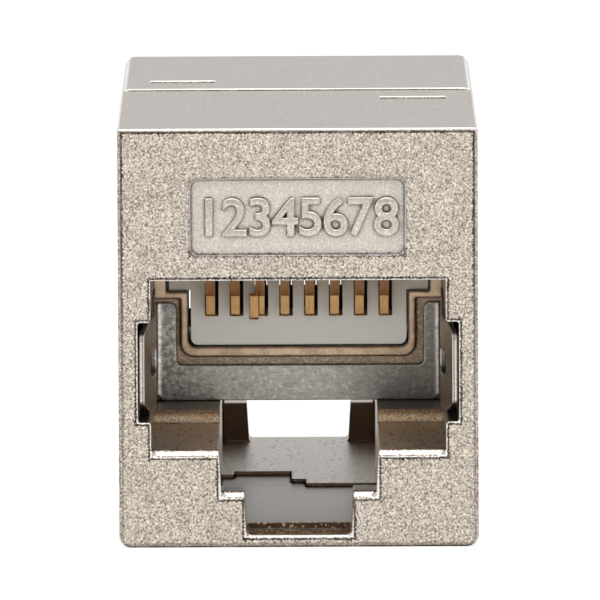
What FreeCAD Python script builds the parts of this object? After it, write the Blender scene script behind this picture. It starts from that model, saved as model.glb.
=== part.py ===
"""Shielded RJ45 inline coupler: two die-cast zinc halves that snap together nose to tail.

Each half takes one plug with its latch downward. Inside sit two sheet-steel shield springs, two
nylon contact carriers, sixteen spring contacts and the circuit board that joins them.

Frame: millimetres, +X to the right seen from the front, +Y from the front face to the rear face,
+Z up. The origin is on the underside, in the middle, and the seam between the halves is at Y = 0.
Both halves are drawn as a front half; the rear half's pieces are turned 180 degrees about Z.
"""
import FreeCAD, Part
import os
import re
import Sketcher

DOC = FreeCAD.newDocument("inline_coupler")
SHEET = DOC.addObject("Spreadsheet::Sheet", "Sizes")

# alias, value in millimetres (or a plain count), what it is
SIZES = [
    ("half_length", "14.3", "front face to seam"),
    ("body_width", "14.5", "outside width"),
    ("body_height", "17.0", "outside height at the two end faces"),
    ("front_rise", "0.02", "casting draft: how much the front half's top rises towards the seam"),
    ("rear_rise", "0.1", "how much the rear half's top rises towards the seam"),
    ("sole_radius", "0.5", "long edges of the underside"),
    ("front_crown", "0.15", "long top edges of the front half"),
    ("front_edge", "0.12", "edge all round the front face"),
    ("rear_crown", "0.4", "long top edges of the rear half"),
    ("rear_edge", "0.35", "edge all round the rear face"),
    ("seam_edge", "0.07", "edge of each half all round the seam"),
    ("front_wall", "1.6", "wall between an end face and the board chamber"),
    ("top_wall", "1.2", "thickness of the top wall"),
    ("ceiling_height", "=body_height - top_wall", "underside of the top wall"),
    ("chamber_width", "11.8", "board chamber, side to side"),
    ("window_width", "11.9", "plug opening, side to side"),
    ("window_top", "10.85", "top of the plug opening"),
    ("window_corner", "0.3", "top corners of the plug opening"),
    ("floor_height", "3.95", "floor that the plug slides on"),
    ("floor_lead", "0.26", "chamfer at the front of that floor"),
    ("step_depth", "8.35", "end face to the raised step in the floor"),
    ("step_rise", "0.5", "height of the step"),
    ("step_radius", "0.42", "rounded edge of the step"),
    ("notch_width", "12.96", "side notches for the shield wings, outside to outside"),
    ("notch_low", "5.08", "bottom of the notches"),
    ("notch_high", "9.15", "top of the notches"),
    ("notch_corner", "0.12", "corners of the notches"),
    ("latch_width", "6.45", "latch channel, side to side"),
    ("latch_taper", "0.08", "how much each side of the latch mouth leans in"),
    ("front_catch", "2.27", "top of the front catch that holds the latch"),
    ("rear_catch", "2.39", "top of the rear catch; the rear half sits a little higher"),
    ("catch_lead", "0.27", "chamfer at the front of the catch"),
    ("lock_width", "4.4", "slot for the latch's thumb tab, at its top"),
    ("lock_taper", "0.1", "how much each side of that slot leans in"),
    ("slot_corner", "0.2", "lower corners of that slot"),
    ("front_slot", "0.5", "floor of the slot in the front half"),
    ("front_sill", "0.8", "floor of the front channel behind the catch"),
    ("front_floor", "0.5", "floor of the front channel at the seam"),
    ("rear_slot", "0.7", "floor of the slot in the rear half"),
    ("rear_sill", "0.73", "floor of the rear channel behind the catch"),
    ("rear_floor", "0.65", "floor of the rear channel at the seam"),
    ("keel_lead", "0.1", "rounded lead-in of the slot's floor"),
    ("lip_depth", "1.75", "thickness of the wall that makes the catch"),
    ("stop_depth", "11.7", "end face to the plate that stops the plug"),
    ("sheet_gauge", "0.2", "thickness of the shield sheet"),
    ("rim_depth", "0.65", "how far the rim stands in front of the bulkhead"),
    ("rim_width", "0.42", "width of the rim under the carrier"),
    ("rim_side", "0.3", "width of the rim beside the carrier"),
    ("rim_gap", "0.15", "rim to the shield wings behind it"),
    ("nest_width", "9.06", "carrier window, lower part"),
    ("nest_shoulder", "10.84", "carrier window, upper part"),
    ("nest_low", "6.75", "bottom of the carrier window"),
    ("nest_step", "9.04", "height at which the carrier window widens"),
    ("nest_corner", "0.3", "lower corners of the carrier window"),
    ("carrier_gap", "0.1", "carrier to its window, each side"),
    ("carrier_rest", "0.02", "carrier to the shoulder it rests on"),
    ("carrier_shift", "0.02", "carrier's play, taken up to one side"),
    ("carrier_face", "11.55", "end face to the carrier's comb face"),
    ("board_drop", "0.325", "middle of the chamber to the top of the carrier"),
    ("carrier_top", "=(window_top + ceiling_height) / 2 - board_drop", "top of the carrier"),
    ("end_gap", "0.1", "carrier to the end wall"),
    ("seam_gap", "0.05", "carrier to the seam"),
    ("pin_count", "8", "contacts in each plug opening"),
    ("pin_pitch", "1.02", "contact to contact"),
    ("pin_shift", "0.03", "how far the contacts lie to one side in their slots"),
    ("pin_width", "0.38", "width of a contact strip"),
    ("pin_gauge", "0.26", "thickness of a contact strip"),
    ("comb_width", "0.56", "width of a comb slot"),
    ("comb_low", "7.99", "bottom of the comb slots"),
    ("groove_top", "12.0", "top of the grooves for the contact tips"),
    ("groove_start", "2.3", "end face to the start of the grooves"),
    ("tip_depth", "3.2", "end face to a contact's tip"),
    ("tip_height", "11.35", "height of the tip"),
    ("knee_depth", "10.7", "end face to the knee of a contact"),
    ("knee_height", "9.05", "height of the knee"),
    ("heel_depth", "10.83", "end face to the heel of a contact"),
    ("heel_height", "8.2", "height of the heel"),
    ("riser_depth", "12.3", "end face to the riser of a contact"),
    ("riser_foot", "8.5", "height at which the riser begins"),
    ("tail_height", "0.45", "contact tail above the board"),
    ("bent_pin", "3", "front contact with a split shin, half of which was pushed out"),
    ("bent_aside", "0.25", "how far that half was pushed to the left"),
    ("bent_ahead", "0.13", "how far it was pushed forward"),
    ("bent_down", "0.13", "how far it was pushed down"),
    ("board_gauge", "1.0", "thickness of the circuit board"),
    ("board_width", "11.2", "board, side to side"),
    ("board_end", "0.5", "end of the board to the end wall"),
    ("board_rest", "0.02", "board to the carriers it lies on"),
    ("solder_gap", "0.02", "contact tail to its hole"),
    ("wing_front", "1.0", "end face to the tips of the shield wings"),
    ("wing_spread", "12.84", "outside width across the wing tips"),
    ("wing_root", "12.18", "outside width of the shield at its plate"),
    ("wing_low", "5.25", "lower edge of the wings"),
    ("wing_high", "8.93", "upper edge of the wings"),
    ("bow_depth", "3.7", "end face to the place where the wings come closest to the plug"),
    ("bow_inside", "11.5", "between the wings at that place"),
    ("bow_radius", "6.0", "inside radius of the wings there"),
    ("tip_run", "1.3", "length over which a wing tapers to its tip"),
    ("tip_drop", "0.42", "how much a wing tapers, above and below"),
    ("tip_corner", "0.3", "corners of the wing tips"),
    ("taper_radius", "1.2", "rounding where the taper begins"),
    ("plate_seat", "0.02", "plate to the step it stands on"),
    ("plate_bar", "5.92", "top of the plate's cross bar"),
    ("plate_arm", "8.5", "top of the plate's arms"),
    ("plate_inside", "10.2", "between the plate's arms"),
    ("plate_shift", "0.08", "how far the plate's window lies to one side"),
    ("plate_toe", "0.35", "cut-off lower corners of the plate, width"),
    ("plate_heel", "0.3", "cut-off lower corners of the plate, height"),
    ("plate_corner", "0.25", "corners of the plate"),
    ("bend_inside", "0.22", "inside radius where a wing bends from the plate"),
    ("slot_near", "2.4", "end face to the near end of the wing's slot"),
    ("slot_far", "4.8", "end face to the far end of the wing's slot"),
    ("slot_low", "6.6", "bottom of the wing's slot"),
    ("slot_high", "7.7", "top of the wing's slot"),
    ("slot_round", "0.4", "corners of the wing's slot"),
    ("tongue_gauge", "0.55", "thickness of the tongues that join the halves"),
    ("tongue_gap", "0.05", "tongue to its recess"),
    ("tongue_reach", "3.9", "length of the tongue in the top wall"),
    ("cheek_stop", "0.35", "end of the tongue in the side wall to the shield spring"),
    ("cheek_reach", "=half_length - stop_depth - sheet_gauge - cheek_stop", "length of that tongue"),
    ("cheek_low", "4.9", "lower end of the side tongue"),
    ("tongue_start", "0.3", "middle of the body to the inner end of a tongue"),
    ("snap_place", "2.95", "seam to the middle of the snap window"),
    ("snap_near", "3.4", "middle of the body to the near end of the snap window"),
    ("snap_far", "6.1", "middle of the body to the far end of the snap window"),
    ("snap_width", "1.0", "snap window, front to rear"),
    ("snap_gap", "0.12", "snap lug to its window"),
    ("snap_sink", "0.25", "top of the snap lug under the top face"),
    ("snap_edge", "0.06", "rounded edge of the snap window"),
    ("keel_reach", "3.5", "length of the tongue in the channel floor"),
    ("keel_side", "2.65", "middle of the body to the corner of that tongue"),
    ("keel_shy", "0.9", "how much shorter it is beside the channel wall"),
    ("keel_end", "0.35", "middle of the body to its other corner"),
    ("keel_toe", "1.2", "length of the small toe beside it"),
    ("label_width", "8.64", "sunk marking field on the front face, side to side"),
    ("label_sill", "1.01", "plug opening to that field"),
    ("label_low", "=window_top + label_sill", "bottom of that field"),
    ("label_drop", "2.05", "top of the body to that field"),
    ("label_high", "=body_height - label_drop", "top of that field"),
    ("label_sink", "0.2", "depth of that field"),
    ("label_corner", "0.35", "corners of that field"),
]

for row, (alias, value, meaning) in enumerate(SIZES, start=1):
    SHEET.set(f"A{row}", value)
    SHEET.setAlias(f"A{row}", alias)
    SHEET.set(f"B{row}", meaning)
DOC.recompute()

ALIASES = {alias for alias, value, meaning in SIZES}
TOLERANCE = 1e-4
HALF_TURN = 180
OVERRUN = "1"


def bound(text):
    """Give every size in an expression its full name in the sheet."""
    return re.sub(r"[a-z_]+", lambda word: f"Sizes.{word[0]}" if word[0] in ALIASES else word[0], text)


def number(text):
    """Work out an expression with the sheet's present values."""
    return float(SHEET.evalExpression(bound(str(text))))


def new_body(label, turned=False):
    """Start a piece; a turned one belongs to the rear half."""
    body = DOC.addObject("PartDesign::Body", label)
    body.Label = label
    angle = HALF_TURN if turned else 0
    body.Placement = FreeCAD.Placement(FreeCAD.Vector(0, 0, 0), FreeCAD.Rotation(FreeCAD.Vector(0, 0, 1), angle))
    return body


def outline(body, name, plane, offset, points):
    """Draw a closed outline; every corner is held by expressions in the sheet's sizes."""
    sketch = body.newObject("Sketcher::SketchObject", name)
    support = [item for item in body.Origin.OriginFeatures if item.Role == plane + "_Plane"][0]
    sketch.AttachmentSupport = [(support, "")]
    sketch.MapMode = "FlatFace"
    sketch.setExpression(".AttachmentOffset.Base.z", bound(offset))
    corners = [FreeCAD.Vector(number(across), number(up), 0) for across, up in points]
    count = len(corners)
    for index in range(count):
        sketch.addGeometry(Part.LineSegment(corners[index], corners[(index + 1) % count]), False)
    for index in range(count):
        sketch.addConstraint(Sketcher.Constraint("Coincident", index, 2, (index + 1) % count, 1))
    for index, (across, up) in enumerate(points):
        for kind, text, value in (("DistanceX", across, corners[index].x), ("DistanceY", up, corners[index].y)):
            place = sketch.addConstraint(Sketcher.Constraint(kind, -1, 1, index, 1, value))
            sketch.setExpression(f"Constraints[{place}]", bound(text))
    return sketch


def box_outline(body, name, plane, offset, left, right, low, high):
    """Draw a rectangle from its four sides."""
    return outline(body, name, plane, offset, [(left, low), (right, low), (right, high), (left, high)])


def feature(body, kind, name, sketch, length, reverse=False, both=False):
    """Pad or pocket a sketch by a length; the volume has to change."""
    before = body.Shape.Volume if body.Tip else 0
    item = body.newObject("PartDesign::" + kind, name)
    item.Profile = sketch
    item.Reversed = reverse
    if both:
        item.SideType = "Symmetric"
    item.setExpression("Length", bound(length))
    DOC.recompute()
    if abs(body.Shape.Volume - before) < TOLERANCE:
        raise RuntimeError(f"{body.Label}: {name} changes nothing")
    return item


def pad(body, name, sketch, length, reverse=False, both=False):
    return feature(body, "Pad", name, sketch, length, reverse, both)


def pocket(body, name, sketch, length, reverse=False, both=False):
    return feature(body, "Pocket", name, sketch, length, reverse, both)


def near(value, text):
    return abs(value - number(text)) < TOLERANCE


def runs_along(edge, axis):
    """Say whether an edge is straight and parallel to an axis."""
    if len(edge.Vertexes) != 2:
        return False
    chord = edge.Vertexes[1].Point - edge.Vertexes[0].Point
    return abs(abs(chord.dot(axis)) - edge.Length) < TOLERANCE


def dress(body, kind, name, size, choose):
    """Fillet or chamfer the edges that a test picks out by their place."""
    base = body.Tip
    names = []
    for index, edge in enumerate(base.Shape.Edges, start=1):
        if choose(edge, edge.CenterOfMass):
            names.append(f"Edge{index}")
    if not names:
        raise RuntimeError(f"{body.Label}: {name} finds no edge")
    item = body.newObject("PartDesign::" + kind, name)
    item.Base = (base, names)
    item.setExpression("Radius" if kind == "Fillet" else "Size", bound(size))
    DOC.recompute()
    if "Invalid" in item.State:
        raise RuntimeError(f"{body.Label}: {name} failed on {len(names)} edges")
    return item


ALONG_X = FreeCAD.Vector(1, 0, 0)
ALONG_Y = FreeCAD.Vector(0, 1, 0)
ALONG_Z = FreeCAD.Vector(0, 0, 1)


# ---------------------------------------------------------------- housings

def cast_block(body, end):
    """The outer form of one half: a drafted block with its outer edges rounded."""
    rise = f"{end}_rise"
    side = outline(body, "side_profile", "YZ", "0", [
        ("-half_length", "0"), ("0", "0"), ("0", f"body_height + {rise}"), ("-half_length", "body_height")])
    pad(body, "block", side, "body_width", both=True)
    dress(body, "Fillet", "sole_edges", "sole_radius", lambda edge, mid:
          runs_along(edge, ALONG_Y) and near(mid.z, "0"))
    dress(body, "Fillet", "crown_edges", f"{end}_crown", lambda edge, mid:
          near(abs(mid.x), "body_width / 2") and near(mid.z, f"body_height + {rise} / 2"))
    dress(body, "Fillet", "face_edges", f"{end}_edge", lambda edge, mid:
          runs_along(edge, ALONG_X) and near(mid.y, "-half_length") and near(mid.z, "body_height"))
    dress(body, "Fillet", "seam_edges", "seam_edge", lambda edge, mid:
          runs_along(edge, ALONG_X) and near(mid.y, "0") and near(mid.z, f"body_height + {rise}"))


def join_tongues(body):
    """The tongues on the left that slip inside the other half, with the lug that snaps."""
    top = box_outline(body, "top_tongue_profile", "XZ", "0", "-chamber_width / 2 - tongue_gauge",
                      "-tongue_start", "ceiling_height", "ceiling_height + tongue_gauge")
    pad(body, "top_tongue", top, "tongue_reach", reverse=True)
    cheek = box_outline(body, "cheek_tongue_profile", "XZ", "0", "-chamber_width / 2 - tongue_gauge",
                        "-chamber_width / 2", "cheek_low", "ceiling_height + tongue_gauge")
    pad(body, "cheek_tongue", cheek, "cheek_reach", reverse=True)
    lug = box_outline(body, "snap_lug_profile", "XY", "ceiling_height + tongue_gauge",
                      "-snap_far + snap_gap", "-snap_near - snap_gap",
                      "snap_place - snap_width / 2 + snap_gap", "snap_place + snap_width / 2 - snap_gap")
    pad(body, "snap_lug", lug, "top_wall - tongue_gauge - snap_sink")


def join_recesses(body):
    """The recesses on the right that take the other half's tongues, and the snap window."""
    top = box_outline(body, "top_recess_profile", "XZ", "0", "tongue_start - tongue_gap",
                      "chamber_width / 2 + tongue_gauge + tongue_gap", "ceiling_height - tongue_gap",
                      "ceiling_height + tongue_gauge + tongue_gap")
    pocket(body, "top_recess", top, "tongue_reach + tongue_gap", reverse=True)
    cheek = box_outline(body, "cheek_recess_profile", "XZ", "0", "chamber_width / 2 - tongue_gap",
                        "chamber_width / 2 + tongue_gauge + tongue_gap", "cheek_low - tongue_gap",
                        "ceiling_height")
    pocket(body, "cheek_recess", cheek, "cheek_reach + tongue_gap", reverse=True)
    window = box_outline(body, "snap_window_profile", "XY", "body_height + rear_rise",
                         "snap_near", "snap_far", "-snap_place - snap_width / 2",
                         "-snap_place + snap_width / 2")
    pocket(body, "snap_window", window, "top_wall + rear_rise - tongue_gauge - tongue_gap")
    dress(body, "Fillet", "snap_window_edges", "snap_edge", lambda edge, mid:
          mid.z > number("body_height") - TOLERANCE and near(abs(mid.y + number("snap_place")), "snap_width / 2"))


def keel_points(side, gap):
    """Outline of the tongue in the channel floor: side 1 for the tongue, -1 for its recess."""
    wall = f"latch_width / 2 + {gap}"
    points = [
        (f"-({wall})", f"-{gap}"), (f"-({wall})", f"keel_reach - keel_shy + {gap}"),
        (f"-keel_side - {gap}", f"keel_reach - keel_shy + {gap}"),
        (f"-keel_side - {gap}", f"keel_reach + {gap}"), (f"-keel_end + {gap}", f"keel_reach + {gap}"),
        (f"-keel_end + {gap}", f"keel_toe + {gap}"), (f"keel_end - 2 * tongue_gap + {gap}", f"keel_toe + {gap}"),
        (f"keel_end - 2 * tongue_gap + {gap}", f"-{gap}")]
    if side < 0:
        points = [(f"-({across})", f"-({along})") for across, along in points]
    return points


def plug_cavity(body, end):
    """The opening for the plug, the latch channel under it and the bulkhead that closes it."""
    face = "half_length"
    half = "window_width / 2"
    mouth = box_outline(body, "mouth_profile", "XZ", face, f"-{half}", half, "floor_height", "window_top")
    pocket(body, "mouth", mouth, "step_depth")
    dress(body, "Fillet", "mouth_corners", "window_corner", lambda edge, mid:
          runs_along(edge, ALONG_Y) and near(mid.z, "window_top") and near(abs(mid.x), half))
    inner = box_outline(body, "inner_profile", "XZ", face, f"-{half}", half,
                        "floor_height + step_rise", "window_top")
    pocket(body, "inner_cavity", inner, "stop_depth + sheet_gauge")
    notch = box_outline(body, "notch_profile", "XZ", face, "-notch_width / 2", "notch_width / 2",
                        "notch_low", "notch_high")
    pocket(body, "side_notches", notch, "stop_depth + sheet_gauge")
    dress(body, "Fillet", "notch_corners", "notch_corner", lambda edge, mid:
          runs_along(edge, ALONG_Y) and mid.y < number("stop_depth - half_length")
          and (near(mid.z, "notch_low") or near(mid.z, "notch_high")))
    latch = outline(body, "latch_profile", "XZ", face, [
        ("-latch_width / 2 + latch_taper", f"{end}_catch"), ("latch_width / 2 - latch_taper", f"{end}_catch"),
        ("latch_width / 2", "floor_height"), ("latch_width / 2", "floor_height + step_rise"),
        ("-latch_width / 2", "floor_height + step_rise"), ("-latch_width / 2", "floor_height")])
    pocket(body, "latch_mouth", latch, "lip_depth")
    lock = outline(body, "lock_profile", "XZ", face, [
        ("-lock_width / 2 + lock_taper", f"{end}_slot"), ("lock_width / 2 - lock_taper", f"{end}_slot"),
        ("lock_width / 2", f"{end}_catch"), ("lock_width / 2", "floor_height"),
        ("-lock_width / 2", "floor_height"), ("-lock_width / 2", f"{end}_catch")])
    pocket(body, "lock_slot", lock, "lip_depth")
    dress(body, "Fillet", "slot_corners", "slot_corner", lambda edge, mid:
          runs_along(edge, ALONG_Y) and near(mid.z, f"{end}_slot"))
    channel = outline(body, "channel_profile", "YZ", "0", [
        ("lip_depth - half_length", f"{end}_sill"), ("0", f"{end}_floor"), ("0", "floor_height + step_rise"),
        ("lip_depth - half_length", "floor_height + step_rise")])
    pocket(body, "latch_channel", channel, "latch_width", both=True)


def carrier_nest(body):
    """The rim on the bulkhead and the stepped window in which the contact carrier sits."""
    half = "window_width / 2"
    outer = "nest_width / 2 + rim_side"
    rim = outline(body, "rim_profile", "XZ", "half_length - stop_depth - sheet_gauge", [
        (f"-{half}", "window_top"), (f"-{half}", "nest_step - rim_side"), (f"-({outer})", "nest_step - rim_side"),
        (f"-({outer})", "nest_low - rim_width"), (outer, "nest_low - rim_width"),
        (outer, "nest_step - rim_side"), (half, "nest_step - rim_side"), (half, "window_top")])
    pad(body, "rim", rim, "rim_depth")
    dress(body, "Fillet", "rim_corners", "nest_corner + rim_width / 2", lambda edge, mid:
          runs_along(edge, ALONG_Y) and near(mid.z, "nest_low - rim_width"))
    nest = outline(body, "nest_profile", "XZ", "half_length - stop_depth - sheet_gauge + rim_depth", [
        ("-nest_width / 2", "nest_low"), ("nest_width / 2", "nest_low"), ("nest_width / 2", "nest_step"),
        ("nest_shoulder / 2", "nest_step"), ("nest_shoulder / 2", "window_top"),
        ("-nest_shoulder / 2", "window_top"), ("-nest_shoulder / 2", "nest_step"), ("-nest_width / 2", "nest_step")])
    pocket(body, "nest", nest, "half_length - stop_depth - sheet_gauge + rim_depth")
    dress(body, "Fillet", "nest_corners", "nest_corner", lambda edge, mid:
          runs_along(edge, ALONG_Y) and near(mid.z, "nest_low"))
    chamber = box_outline(body, "chamber_profile", "XZ", "0", "-chamber_width / 2", "chamber_width / 2",
                          "window_top", "ceiling_height")
    pocket(body, "board_chamber", chamber, "half_length - front_wall", reverse=True)


def lead_ins(body, end):
    """Chamfers and rounded edges at the front of the opening and on the step in its floor."""
    def front_edge(edge, mid, height):
        return runs_along(edge, ALONG_X) and near(mid.y, "-half_length") and near(mid.z, height)

    dress(body, "Fillet", "step_edges", "step_radius", lambda edge, mid:
          runs_along(edge, ALONG_X) and near(mid.y, "step_depth - half_length")
          and near(mid.z, "floor_height + step_rise"))
    dress(body, "Chamfer", "floor_lead_in", "floor_lead", lambda edge, mid: front_edge(edge, mid, "floor_height"))
    dress(body, "Chamfer", "catch_lead_in", "catch_lead", lambda edge, mid: front_edge(edge, mid, f"{end}_catch"))
    for name, wall, level, lead in (("floor", "window_width / 2", "floor_height", "floor_lead"),
                                    ("catch", "(latch_width / 2 - latch_taper)", f"{end}_catch", "catch_lead")):
        for side, sign in (("left", "-"), ("right", "")):
            corner = outline(body, f"{name}_{side}_mitre_profile", "XZ", "half_length", [
                (f"{sign}{wall}", level), (f"{sign}({wall} - {lead})", f"{level} - {lead}"),
                (f"{sign}{wall}", f"{level} - {lead}")])
            pad(body, f"{name}_{side}_mitre", corner, lead, reverse=True)
    dress(body, "Fillet", "keel_lead_in", "keel_lead", lambda edge, mid: front_edge(edge, mid, f"{end}_slot"))


def make_housing(label, rear):
    """One die-cast half. The front one has the marking field and the tongue in its floor."""
    body = new_body(label, turned=rear)
    end = "rear" if rear else "front"
    cast_block(body, end)
    join_tongues(body)
    plug_cavity(body, end)
    carrier_nest(body)
    join_recesses(body)
    if rear:
        recess = outline(body, "keel_recess_profile", "XY", "0", keel_points(-1, "tongue_gap"))
        pocket(body, "keel_recess", recess, "rear_sill", reverse=True)
    else:
        tongue = outline(body, "keel_tongue_profile", "XY", "0", keel_points(1, "0"))
        pad(body, "keel_tongue", tongue, "front_floor")
        field = box_outline(body, "label_profile", "XZ", "half_length", "-label_width / 2",
                            "label_width / 2", "label_low", "label_high")
        pocket(body, "label_field", field, "label_sink")
        dress(body, "Fillet", "label_corners", "label_corner", lambda edge, mid:
              runs_along(edge, ALONG_Y) and near(abs(mid.x), "label_width / 2"))
    lead_ins(body, end)
    return body


# ---------------------------------------------------------------- shield springs

def make_shield_spring(label, rear):
    """A sheet-steel strap: a notched plate that stops the plug, and a bowed wing along each side wall."""
    body = new_body(label, turned=rear)
    low = "floor_height + step_rise + plate_seat"
    front = "stop_depth - half_length"
    back = "stop_depth + sheet_gauge - half_length"
    tip = "wing_front - half_length"
    bow = "bow_depth - half_length"
    plan = outline(body, "plan_profile", "XY", low, [
        ("-wing_spread / 2", tip), ("-wing_spread / 2 + sheet_gauge", tip), ("-bow_inside / 2", bow),
        ("-wing_root / 2 + sheet_gauge", front), ("wing_root / 2 - sheet_gauge", front), ("bow_inside / 2", bow),
        ("wing_spread / 2 - sheet_gauge", tip), ("wing_spread / 2", tip), ("bow_inside / 2 + sheet_gauge", bow),
        ("wing_root / 2", back), ("-wing_root / 2", back), ("-bow_inside / 2 - sheet_gauge", bow)])
    pad(body, "strap", plan, f"wing_high - ({low})")
    dress(body, "Fillet", "inner_bows", "bow_radius", lambda edge, mid:
          runs_along(edge, ALONG_Z) and near(mid.y, bow) and near(abs(mid.x), "bow_inside / 2"))
    dress(body, "Fillet", "outer_bows", "bow_radius + sheet_gauge", lambda edge, mid:
          runs_along(edge, ALONG_Z) and near(mid.y, bow) and near(abs(mid.x), "bow_inside / 2 + sheet_gauge"))
    dress(body, "Fillet", "inner_bends", "bend_inside", lambda edge, mid:
          runs_along(edge, ALONG_Z) and near(mid.y, front))
    dress(body, "Fillet", "outer_bends", "bend_inside + sheet_gauge", lambda edge, mid:
          runs_along(edge, ALONG_Z) and near(mid.y, back))
    ahead = "half_length - stop_depth - sheet_gauge + rim_depth + rim_gap"
    through = "rim_depth + rim_gap + sheet_gauge"
    mouth = box_outline(body, "plate_window_profile", "XZ", ahead, "plate_shift - plate_inside / 2",
                        "plate_shift + plate_inside / 2", "plate_bar", "wing_high + plate_corner")
    pocket(body, "plate_window", mouth, through)
    tops = box_outline(body, "arm_top_profile", "XZ", ahead, "-wing_spread / 2", "wing_spread / 2",
                       "plate_arm", "wing_high + plate_corner")
    pocket(body, "arm_tops", tops, through)
    under = box_outline(body, "wing_trim_profile", "YZ", "0", f"{tip} - {OVERRUN}",
                        f"{front} - bend_inside - sheet_gauge", f"{low} - {OVERRUN}", "wing_low")
    pocket(body, "wing_trim", under, f"wing_spread + {OVERRUN}", both=True)
    for name, level, inward, outward in (("upper", "wing_high", "-", "+"), ("lower", "wing_low", "+", "-")):
        taper = outline(body, f"{name}_taper_profile", "YZ", "0", [
            (tip, f"{level} {inward} tip_drop"), (f"{tip} + tip_run", level),
            (f"{tip} + tip_run", f"{level} {outward} {OVERRUN}"), (f"{tip} - {OVERRUN}", f"{level} {outward} {OVERRUN}"),
            (f"{tip} - {OVERRUN}", f"{level} {inward} tip_drop")])
        pocket(body, f"{name}_taper", taper, f"wing_spread + {OVERRUN}", both=True)
    foot = "wing_root / 2 - sheet_gauge"
    for side, sign in (("left", "-"), ("right", "")):
        toe = outline(body, f"{side}_toe_profile", "XZ", ahead, [
            (f"{sign}(wing_spread / 2)", "wing_low"), (f"{sign}({foot})", "wing_low"),
            (f"{sign}({foot})", f"{low} + plate_heel"), (f"{sign}({foot} - plate_toe)", low),
            (f"{sign}({foot} - plate_toe)", f"{low} - {OVERRUN}"), (f"{sign}(wing_spread / 2)", f"{low} - {OVERRUN}")])
        pocket(body, f"{side}_toe", toe, through)
    slot = box_outline(body, "wing_slot_profile", "YZ", "0", "slot_near - half_length",
                       "slot_far - half_length", "slot_low", "slot_high")
    pocket(body, "wing_slot", slot, f"wing_spread + {OVERRUN}", both=True)

    def beside_window(mid):
        return near(abs(mid.x - number("plate_shift")), "plate_inside / 2")

    dress(body, "Fillet", "wing_tips", "tip_corner", lambda edge, mid:
          runs_along(edge, ALONG_X) and near(mid.y, tip))
    dress(body, "Fillet", "taper_ends", "taper_radius", lambda edge, mid:
          runs_along(edge, ALONG_X) and near(mid.y, f"{tip} + tip_run"))
    dress(body, "Fillet", "slot_ends", "slot_round", lambda edge, mid:
          runs_along(edge, ALONG_X)
          and (near(mid.y, "slot_near - half_length") or near(mid.y, "slot_far - half_length")))
    dress(body, "Fillet", "window_corners", "plate_corner", lambda edge, mid:
          runs_along(edge, ALONG_Y) and near(mid.z, "plate_bar") and beside_window(mid))
    dress(body, "Fillet", "arm_corners", "plate_corner", lambda edge, mid:
          runs_along(edge, ALONG_Y) and near(mid.z, "plate_arm") and beside_window(mid))
    return body


# ---------------------------------------------------------------- contact carriers

def comb(body, name, sketch, length):
    """Cut one slot and repeat it at the contacts' pitch."""
    slot = pocket(body, name, sketch, length)
    rows = body.newObject("PartDesign::LinearPattern", name + "_row")
    rows.Originals = [slot]
    rows.Direction = (sketch, ["H_Axis"])
    rows.Mode = "Spacing"
    rows.setExpression("Offset", bound("pin_pitch"))
    rows.setExpression("Occurrences", bound("pin_count"))
    body.Tip = rows
    DOC.recompute()


def first_slot(width):
    """The two sides of the leftmost slot or contact."""
    middle = "-(pin_count - 1) / 2 * pin_pitch"
    return f"{middle} - {width} / 2", f"{middle} + {width} / 2"


def make_contact_carrier(label, rear):
    """A nylon block: a comb wall behind the plug and a grooved roof over it."""
    body = new_body(label, turned=rear)
    body.setExpression("Placement.Base.x", bound("-carrier_shift" if rear else "carrier_shift"))
    face = "half_length - carrier_face"
    narrow = "nest_width / 2 - carrier_gap"
    wide = "nest_shoulder / 2 - carrier_gap"
    ledge = "nest_step + carrier_rest"
    wall = outline(body, "comb_wall_profile", "XZ", face, [
        (f"-({narrow})", "nest_low + carrier_gap / 2"), (narrow, "nest_low + carrier_gap / 2"), (narrow, ledge),
        (wide, ledge), (wide, "carrier_top"), (f"-({wide})", "carrier_top"),
        (f"-({wide})", ledge), (f"-({narrow})", ledge)])
    pad(body, "comb_wall", wall, "half_length - carrier_face - seam_gap", reverse=True)
    dress(body, "Fillet", "wall_corners", "nest_corner", lambda edge, mid:
          runs_along(edge, ALONG_Y) and near(mid.z, "nest_low + carrier_gap / 2"))
    roof = box_outline(body, "roof_profile", "XZ", "half_length - front_wall - end_gap",
                       "-chamber_width / 2 + carrier_gap", "chamber_width / 2 - carrier_gap",
                       "window_top + carrier_gap / 2", "carrier_top")
    pad(body, "roof", roof, "half_length - front_wall - end_gap - seam_gap", reverse=True)
    left, right = first_slot("comb_width")
    slot = box_outline(body, "comb_slot_profile", "XZ", face, left, right, "comb_low", "carrier_top")
    comb(body, "comb_slot", slot, "half_length - carrier_face")
    groove = box_outline(body, "groove_profile", "XZ", "half_length - groove_start", left, right,
                         "window_top", "groove_top")
    comb(body, "groove", groove, "carrier_face - groove_start")
    return body


# ---------------------------------------------------------------- contacts

def strip_points(start, end):
    """Corners of a strip of the contacts' gauge from one point of the side view to another."""
    (along, up), (far, top) = start, end
    run = f"sqrt(({far} - ({along}))^2 + ({top} - ({up}))^2)"
    side = f"({far} - ({along})) / {run} * pin_gauge / 2"
    rise = f"({top} - ({up})) / {run} * pin_gauge / 2"
    return [(f"{along} + {rise}", f"{up} - {side}"), (f"{far} + {rise}", f"{top} - {side}"),
            (f"{far} - {rise}", f"{top} + {side}"), (f"{along} - {rise}", f"{up} + {side}")]


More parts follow.
